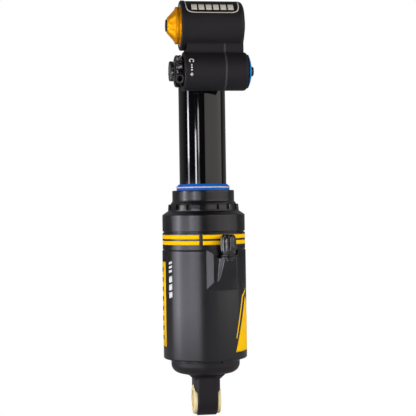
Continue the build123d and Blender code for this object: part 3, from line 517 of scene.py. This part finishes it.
lathe_z("slider_tube", eased([(tube_r - 1.6, tube_bottom, 0.1), (tube_r + 0.03, tube_bottom, 0.1),
                              (tube_r + 0.03, tube_top - 3.2, 0.1), (tube_r - 3.2, tube_top - 3.2, 0.1),
                              (tube_r - 3.2, tube_top - 7.6, 0.1), (tube_r - 1.6, tube_top - 9.0, 0.1)]),
        count=256, body="damper", slot="gloss_hard_anodised", material=polished_tube,
        replaced=["damper_tube"])


# ---------------------------------------------------------------- valve cap

valve_axis = (cap_x, cap_y)


def fluted_cap():
    """Barrel-shaped cap carried round its own axis.

    It is widest at mid height, and its radius drops into ten rounded flutes, which fade out at the foot and
    the top."""
    height, bore_r, flute_depth = cap_head - cap_foot, 4.0, 0.85
    profile = eased([(bore_r, 0.0, 0.1), (0.86 * cap_r, 0.0, 0.2), (0.9 * cap_r, 1.2, 0.3),
                     (0.93 * cap_r, 2.0, 0.4), (cap_r, 5.5, 1.5), (cap_r, 8.5, 1.5),
                     (0.95 * cap_r, height - 1.6, 0.9), (0.74 * cap_r, height, 0.5),
                     (0.55 * cap_r, height, 0.2), (0.5 * cap_r, height - 1.3, 0.3),
                     (0.0, height - 1.5, 0.1)], closed=False, steps=6)
    profile = np.r_[[(0.0, height - 3.0), (bore_r, height - 3.0)], profile]
    r, z = profile.T[:, None, :]
    angle = turn_of(240)
    flute = np.clip(np.cos(10 * angle), 0, 1) ** 2
    fade = smooth(z, 1.6, 3.0) * (1 - smooth(z, height - 1.8, height - 0.2)) * (r > 0.8 * cap_r)
    points = upright(r - flute_depth * flute * fade, z + cap_foot, angle, valve_axis)
    surface("fluted_valve_cap", points, loop=False, body="valve_cap", slot="black_plastic",
            material=black_nylon, replaced=["valve_cap"])


fluted_cap()

pin_r, stem_r, ring_r, seat_r = 1.5, 3.8, 5.0, 5.6
lathe_z("valve_seat", eased([(pin_r, boss_top - 1.6, 0.1), (stem_r, boss_top - 1.6, 0.1),
                             (stem_r, boss_top, 0.05), (seat_r, boss_top, 0.3), (seat_r, boss_top + 1.0, 0.3),
                             (ring_r, boss_top + 1.25, 0.1), (ring_r, boss_top + 1.5, 0.1),
                             (seat_r, boss_top + 1.7, 0.25), (seat_r, boss_top + 2.35, 0.3),
                             (stem_r, boss_top + 2.4, 0.05), (stem_r, boss_top + 12.0, 0.3),
                             (pin_r, boss_top + 12.0, 0.1)]),
        count=96, centre=valve_axis, body="can", slot="brass", material=black_screw, replaced=["air_valve"])


# ---------------------------------------------------------------- bushings

def bushing(name, body, eye_z, side, replaced):
    """Flanged sleeve: closed profile carried round the crosswise axis, with two faint rings in its face."""
    inner, spigot, outer, start, shoulder, face = 6.05, 7.5, 10.0, 0.5, 7.0, 9.2
    profile = eased([(inner, start, 0.1), (spigot, start, 0.1), (spigot, shoulder, 0.1),
                     (outer, shoulder, 0.2), (outer, face - 0.15, 0.35), (outer - 1.1, face, 0.1),
                     (outer - 1.4, face - 0.12, 0.1), (outer - 1.7, face, 0.1), (outer - 2.6, face, 0.1),
                     (outer - 2.9, face - 0.15, 0.1), (outer - 3.2, face, 0.1), (inner + 0.2, face, 0.3)])
    profile[:, 1] *= side
    lathe_x(name, profile, (0.0, eye_z), loop=True, body=body, slot="bushing_polymer", material=cream_nylon,
            replaced=[replaced])


for eye, body, eye_z in (("lower", "rod", lower_eye), ("upper", "damper", upper_eye)):
    for word, side in (("left", -1), ("right", 1)):
        bushing(f"{eye}_eye_bush_{word}", body, eye_z, side, f"{eye}_bushing_{word}")


# ---------------------------------------------------------------- dials on the head

barrel = (barrel_y, barrel_z)
reservoir = (reservoir_y, reservoir_z)
lever_low, lever_high = span("lever")
dial_low, dial_high = span("compression_dial")
threshold_low, threshold_high = span("threshold_dial")
knob_low, knob_high = span("rebound_knob")


def turned_wheel(name, profile, centre, radius_at, count, **look):
    """Profile of (radius, place) carried round a crosswise axis, its radius changed by a function of both."""
    angle = turn_of(count)
    r, x = profile.T[:, None, :]
    points = crosswise(radius_at(r, x, angle), x, angle, centre)
    return surface(name, points, loop=False, **look)


def lever_wheel(r, x, angle):
    """Ten blades that lean as they cross the wheel: the radius drops between them by a clipped cosine."""
    blades, depth, hub_r, full_r, lean_per_mm = 10, 2.9, 6.2, 9.5, 0.11
    lean = (x - lever_low[0]) * lean_per_mm
    blade = np.clip(0.6 + np.cos(blades * (angle + lean)), 0, 1) ** 1.5
    return np.where(r > hub_r, r - depth * (1 - blade) * smooth(r, hub_r, full_r), r)


lever_r = 10.85
lever_left, lever_right = lever_low[0], lever_high[0]
turned_wheel("stepped_lever",
             eased([(0, lever_right, 0), (5.5, lever_right, 0.2), (8.6, lever_right - 0.1, 0.4),
                    (lever_r, lever_right - 0.7, 0.8), (lever_r, lever_right - 4.4, 0.7),
                    (lever_r - 1.6, lever_left + 0.3, 0.8), (7.0, lever_left, 0.4),
                    (4.2, lever_left + 0.8, 0.3), (0, lever_left + 0.8, 0)], closed=False),
             barrel, lever_wheel, 360, body="lever", slot="black_anodised", material=polished_black,
             replaced=["lever"])


def lever_lug():
    """Rounded square tube that stands out from the lever along a radius, with a round hole down its middle.

    Its outer radius round the hole is that of a fourth-power superellipse, cut flat at the wheel's faces.
    squareness goes from 0 in the hole to 1 on the outside."""
    tilt = math.radians(-30.0)
    middle = (lever_high[0] + lever_low[0]) / 2
    hole_r, hole_floor, half_width, height_share = 1.75, 7.6, 2.6, 1.25
    around = turn_of(72)
    square = (np.abs(np.cos(around)) ** 4 + np.abs(np.sin(around)) ** 4) ** -0.25
    ring, reach, squareness = np.array([
        (0.0, hole_floor, 0), (hole_r, hole_floor, 0), (hole_r, 12.2, 0), (2.2, 12.45, 0.35),
        (2.35, 12.45, 1), (2.6, 11.9, 1), (2.65, 5.0, 1), (0.0, 5.0, 0)]).T[:, None, :]
    wide = ring * (1 + squareness * (square - 1))
    along = middle + np.clip(wide * np.cos(around), -half_width, half_width)
    across = wide * np.sin(around) * height_share
    forward = reach * math.cos(tilt) - across * math.sin(tilt)
    upward = reach * math.sin(tilt) + across * math.cos(tilt)
    surface("lever_thumb_lug", np.stack([along, barrel_y - forward, barrel_z + upward], -1), loop=False,
            body="lever", slot="black_anodised", material=polished_black)


lever_lug()


def knurled_dial(r, x, angle):
    """Fourteen rounded ribs that lean as they cross the dial."""
    ribs, depth, hub_r, lean_per_mm = 14, 0.95, 5.2, 0.2
    lean = (x - threshold_low[0]) * lean_per_mm
    return np.where(r > hub_r, r - depth * (0.5 + 0.5 * np.cos(ribs * (angle - lean))), r)


dial_left, dial_right = threshold_low[0], threshold_high[0]
turned_wheel("small_dial",
             eased([(0, dial_right - 2.6, 0), (6.0, dial_right - 2.6, 0.2), (6.85, dial_right - 3.0, 0.3),
                    (6.85, dial_left + 0.5, 0.5), (6.2, dial_left, 0.3), (3.0, dial_left, 0.2),
                    (2.6, dial_left + 0.6, 0.2), (0, dial_left + 0.6, 0)], closed=False),
             barrel, knurled_dial, 224, body="threshold_dial", slot="black_anodised", material=polished_black,
             replaced=["threshold_dial"])

knob_left = knob_low[0]
knob_r = (knob_high[2] - knob_low[2]) / 2
flange = knob_left + 5.4


def scalloped_knob(r, x, angle):
    """Eight finger scallops: on the cone the radius drops by a rounded hollow, deepest at its foot."""
    scallops, first, depth = 8, math.radians(10), 0.65
    on_cone = 1 - smooth(x, flange - 0.3, flange + 0.3)
    valley = 0.5 + 0.5 * np.cos(scallops * (angle - first))
    return r - depth * valley * on_cone * smooth(r, 5.4, 8.0)


turned_wheel("rebound_cone",
             eased([(0, reservoir_left - 0.95, 0), (knob_r - 0.4, reservoir_left - 0.95, 0.2),
                    (knob_r, reservoir_left - 1.5, 0.3), (knob_r, flange + 0.4, 0.35),
                    (knob_r - 0.5, flange, 0.35), (knob_r - 1.5, flange - 0.1, 0.4),
                    (9.0, knob_left + 3.6, 0.8), (6.2, knob_left + 1.1, 0.8), (5.0, knob_left, 0.25),
                    (4.1, knob_left, 0.15), (4.0, knob_left + 0.9, 0.15), (0, knob_left + 0.9, 0)],
                   closed=False, steps=6),
             reservoir, scalloped_knob, 288, body="rebound_knob", slot="gold_anodised", material=gold,
             replaced=["rebound_knob"])

dial_r, dial_face, dome_hole = (dial_high[2] - dial_low[2]) / 2, dial_high[0], 3.2
out = np.linspace(0, 1, 18)
# The dome falls back from its face with the square of the way out.
dome = np.stack([dome_hole + (dial_r - 0.1 - dome_hole) * out, dial_face - 2.3 * (0.07 + 0.93 * out ** 2)], 1)
dial_foot = [(0, barrel_right + 0.4), (dial_r - 0.25, barrel_right + 0.4), (dial_r, barrel_right + 0.65)]
dome_floor = [(dome_hole - 0.05, dial_face - 1.0), (0, dial_face - 1.0)]
lathe_x("dial_dome", np.r_[dial_foot, dome[::-1], dome_floor],
        barrel, body="compression_dial", slot="blue_anodised", material=blue, replaced=["compression_dial"])


# ---------------------------------------------------------------- marks and edges on the head

def mark(name, x, height):
    """Printed mark on the barrel, from grids of places along it and arc lengths above its middle."""
    points = crosswise(barrel_r + ink_lift, x, np.asarray(height) / barrel_r, barrel)
    surface(name, points, ring=False, loop=False, body="damper", slot="black_anodised", material=white_ink,
            wall=ink_wall)


mark_x, ring_height, cross_height = -11.2, 6.0, -3.4
sweep = np.radians(np.linspace(35 - 90, 325 - 90, 40))[:, None]
stroke = np.array([1.02, 1.52])[None, :]
mark("mark_ring", mark_x + 1.1 * stroke * np.cos(sweep), ring_height + stroke * np.sin(sweep))
around = np.linspace(0, 2 * math.pi, 25)[:, None]
disc = np.array([0.02, 0.52])[None, :]
for k, height in enumerate((2.9, 1.2, -0.5)):
    mark(f"mark_dot_{k + 1}", mark_x + disc * np.cos(around), height + disc * np.sin(around))
long, thin = 1.15 * np.array([-1, 1]), 0.28 * np.array([-1, 1])
mark("mark_plus_along", mark_x + long[:, None], cross_height + thin[None, :])
mark("mark_plus_across", mark_x + thin[:, None], cross_height + np.linspace(*long, 5)[None, :])

label_lift, label_wall = 0.05, 0.07


def on_reservoir(name, x, arc, **shape):
    """Silver print on the reservoir, from grids of places along it and arc lengths above its middle."""
    surface(name, crosswise(reservoir_r + label_lift, x, arc / reservoir_r, reservoir), body="damper",
            slot="bare_aluminium", material=silver_ink, wall=label_wall, **shape)


def label_frame():
    """Rounded rectangle of line round the reservoir's top: a superellipse of the ninth power."""
    along = turn_of(240)
    c, s = np.cos(along), np.sin(along)
    corner = (np.abs(c) ** 9 + np.abs(s) ** 9) ** (-1 / 9)
    line = np.array([0.0, 0.62])[None, :]
    middle_x, half_x, half_arc = 3.5, 17.9, 19.2
    top_arc = reservoir_r * math.pi / 2
    on_reservoir("label_frame", middle_x + (half_x - line) * corner * c,
                 top_arc + (half_arc - line) * corner * s, loop=False)


label_frame()
first_bar, bar_pitch, bar_width, bar_arc, bar_height = -8.6, 4.85, 3.7, 11.7, 5.6
across_bar = np.linspace(-0.5, 0.5, 5)
for k in range(6):
    on_reservoir(f"label_bar_{k + 1}", first_bar + bar_pitch * k + bar_width * across_bar[:, None],
                 bar_arc + bar_height * across_bar[None, :], ring=False, loop=False)


def seam_ridge():
    """Low rounded ridge carried along the front of the barrel and the web, with an ellipse as its section."""
    seam_x, half_width, height, web_points = 11.9, 0.7, 0.45, 12
    web_front = barrel_y - 5.5
    low_arc = np.radians(np.linspace(-80, 58, 60))
    arc_y, arc_z = barrel_y - barrel_r * np.cos(low_arc), barrel_z + barrel_r * np.sin(low_arc)
    web_z = np.linspace(arc_z[-1] + 1.5, reservoir_z - reservoir_r + 3.0, web_points)
    run = np.stack([np.r_[arc_y, np.full(web_points, web_front)], np.r_[arc_z, web_z]], 1)
    ahead = np.gradient(run, axis=0)
    out = np.stack([-ahead[:, 1], ahead[:, 0]], 1) / np.linalg.norm(ahead, axis=1)[:, None]
    section = np.linspace(0, 2 * math.pi, 16, endpoint=False)
    place = run[:, None, :] + out[:, None, :] * (height * np.sin(section))[None, :, None]
    x = np.broadcast_to(seam_x + half_width * np.cos(section), place.shape[:2])
    points = np.concatenate([x[..., None], place], -1)
    ends = [np.broadcast_to(points[k].mean(0), points[:1].shape) for k in (0, -1)]
    # The ridge's lighter grey finish is a painted highlight along the seam.
    surface("seam_ridge", np.concatenate([ends[0], points, ends[1]]), ring=False, body="damper",
            slot="black_anodised", material=seam_highlight_grey)


seam_ridge()

for name, centre, x, r in (("barrel_chamfer", barrel, barrel_left, barrel_r),
                           ("reservoir_chamfer", reservoir, reservoir_left, reservoir_r + 0.3)):
    slant = np.array([(r - 0.4, x + 0.2), (r - 0.42, x + 0.16), (r + 0.02, x + 0.6), (r - 0.04, x + 0.64)])
    lathe_x(name, slant, centre, loop=True, body="damper", slot="bare_aluminium", material=steel)


# ---------------------------------------------------------------- studio

def stage_floor():
    """Pale floor: white to the camera, and a light grey to everything else."""
    mesh = bpy.data.meshes.new("floor")
    reach, z = 6.0, cad_box[0][2] - 0.5 * MM
    corners = [(-reach, -reach, z), (reach, -reach, z), (reach, reach, z), (-reach, reach, z)]
    mesh.from_pydata(corners, [], [(0, 1, 2, 3)])
    floor = bpy.data.objects.new("floor", mesh)
    bpy.context.scene.collection.objects.link(floor)
    material = bpy.data.materials.new("white_paper_sweep")
    material.use_nodes = True
    tree = material.node_tree
    tree.nodes.clear()
    seen = add(tree, "ShaderNodeLightPath").outputs["Is Camera Ray"]
    white = add(tree, "ShaderNodeEmission", {}, {"Strength": 1.0}).outputs[0]
    grey = add(tree, "ShaderNodeBsdfDiffuse", {}, {"Color": colour("#c4c4c6")}).outputs[0]
    both = add(tree, "ShaderNodeMixShader", {}, {0: seen, 1: grey, 2: white}).outputs[0]
    add(tree, "ShaderNodeOutputMaterial", {}, {"Surface": both})
    mesh.materials.append(material)


def studio_world(behind, around):
    """White to the camera. Other rays see brightness behind from the far side, and around elsewhere."""
    world = bpy.data.worlds.new("studio")
    bpy.context.scene.world = world
    world.use_nodes = True
    tree = world.node_tree
    tree.nodes.clear()
    white = (1.0, 1.0, 1.0, 1.0)
    seen = add(tree, "ShaderNodeLightPath").outputs["Is Camera Ray"]
    ray = add(tree, "ShaderNodeTexCoord").outputs["Generated"]
    far = add(tree, "ShaderNodeSeparateXYZ", {}, {0: ray}).outputs["Y"]
    glow = add(tree, "ShaderNodeMapRange", {}, {
        "Value": far, "From Min": 0.1, "From Max": 0.5, "To Min": around, "To Max": behind}).outputs["Result"]
    shown = add(tree, "ShaderNodeBackground", {}, {"Color": white, "Strength": 1.0}).outputs[0]
    lit = add(tree, "ShaderNodeBackground", {}, {"Color": white, "Strength": glow}).outputs[0]
    both = add(tree, "ShaderNodeMixShader", {}, {0: seen, 1: lit, 2: shown}).outputs[0]
    add(tree, "ShaderNodeOutputWorld", {}, {"Surface": both})


view_turn, view_roll = math.radians(-8.0), math.radians(0.84)
view_distance, view_height, view_shift, lens_mm = 0.777, 0.131, 0.0032, 97.8


def right_and_back(angle):
    """Level directions to the right of a place at an angle round the object, and away from the object."""
    return Vector((math.cos(angle), math.sin(angle), 0)), Vector((math.sin(angle), -math.cos(angle), 0))


def softbox(name, turn, half_width, low, high, glow, tint="#ffffff", distance=1.0, diffuse_only=False):
    """Soft rectangle of light that faces the object, between two heights (m).

    Its turn from the view and its half width are angles in degrees. An area lamp of energy e looks
    e / (4 x area) bright, and glow is that brightness."""
    angle = view_turn + math.radians(turn)
    width, height = 2 * distance * math.tan(math.radians(half_width)), high - low
    light = bpy.data.lights.new(name, "AREA")
    light.shape = "RECTANGLE"
    light.size, light.size_y = width, height
    light.energy = glow * 4 * width * height
    light.color = colour(tint)[:3]
    lamp = bpy.data.objects.new(name, light)
    bpy.context.scene.collection.objects.link(lamp)
    side, back = right_and_back(angle)
    lamp.location = (distance * math.sin(angle), -distance * math.cos(angle), (low + high) / 2)
    lamp.rotation_euler = Matrix((side, Vector((0, 0, 1)), back)).transposed().to_euler()
    lamp.visible_camera = False
    lamp.visible_glossy = not diffuse_only


def camera():
    """Camera at the view's angle, turned a little about its own line of sight."""
    right, back = right_and_back(view_turn)
    up = Vector((0, 0, 1))
    data = bpy.data.cameras.new("camera")
    data.sensor_width = 36.0
    data.lens = lens_mm
    data.clip_start, data.clip_end = 0.01, 50.0
    eye = bpy.data.objects.new("camera", data)
    bpy.context.scene.collection.objects.link(eye)
    rolled_right = right * math.cos(view_roll) - up * math.sin(view_roll)
    rolled_up = up * math.cos(view_roll) + right * math.sin(view_roll)
    turned = Matrix((rolled_right, rolled_up, back)).transposed().to_4x4()
    place = back * view_distance + right * view_shift + up * view_height
    eye.matrix_world = Matrix.Translation(place) @ turned
    bpy.context.scene.camera = eye


bpy.context.scene.view_settings.view_transform = "Standard"
stage_floor()
studio_world(behind=0.2, around=0.03)

# Three narrow strips that stand as bright lines in the polished tube.
cool, faint_cool, warm = "#f6f4ff", "#f3f2ff", "#fffaf6"
softbox("key_strip_top", -72, 4, 0.287, 0.34, 7, tint="#efecff")
softbox("key_strip", -72, 4, 0.205, 0.287, 17, tint=cool)
softbox("key_strip_foot", -72, 4, 0.14, 0.205, 4.8, tint=cool)
softbox("second_strip", -32.5, 3.2, 0.15, 0.25, 14, tint=cool)
softbox("third_strip", -18.3, 3, 0.215, 0.285, 6.5)
softbox("third_strip_foot", -18.3, 3, 0.15, 0.215, 1.5)

# A low screen of light that makes the can's broad sheen on the left, with a brighter line in it.
screen_foot, screen_middle, screen_top, screen_distance = -0.0105, 0.05, 0.157, 0.5
softbox("key_strip_low", -74, 5, screen_foot, screen_top, 2.2, tint=faint_cool, distance=screen_distance)
for turn in (-80, -52, -24):
    softbox(f"low_left_{-turn}", turn, 14, screen_foot, screen_middle, 2.8, tint=faint_cool,
            distance=screen_distance)
    softbox(f"mid_left_{-turn}", turn, 14, screen_middle, screen_top, 1.8, tint=faint_cool,
            distance=screen_distance)
softbox("upper_left", -75, 25, 0.37, 0.75, 1.4, tint="#fff6ea")

# A dim wall on the right: the grey band in the tube, and below it the can's darker side.
for turn, foot, waist in ((24.5, 0.25, 0.2), (47.5, 0.85, 0.5), (70.5, 1.2, 0.55), (93.5, 0.9, 0.15)):
    for part, low, high, glow in (("foot", -0.009, 0.09, foot), ("waist", 0.09, 0.165, waist),
                                  ("wall", 0.165, 0.9, 0.93)):
        softbox(f"right_{part}_{int(turn)}", turn, 11.6, low, high, glow, tint=warm)

# Fills that light the colours and show in no reflection.
for name, turn in (("fill_left", -40), ("fill_right", 40), ("fill_side", 95), ("fill_back", 180)):
    softbox(name, turn, 16, 0.1, 0.7, 2.4, distance=1.2, diffuse_only=True)
camera()
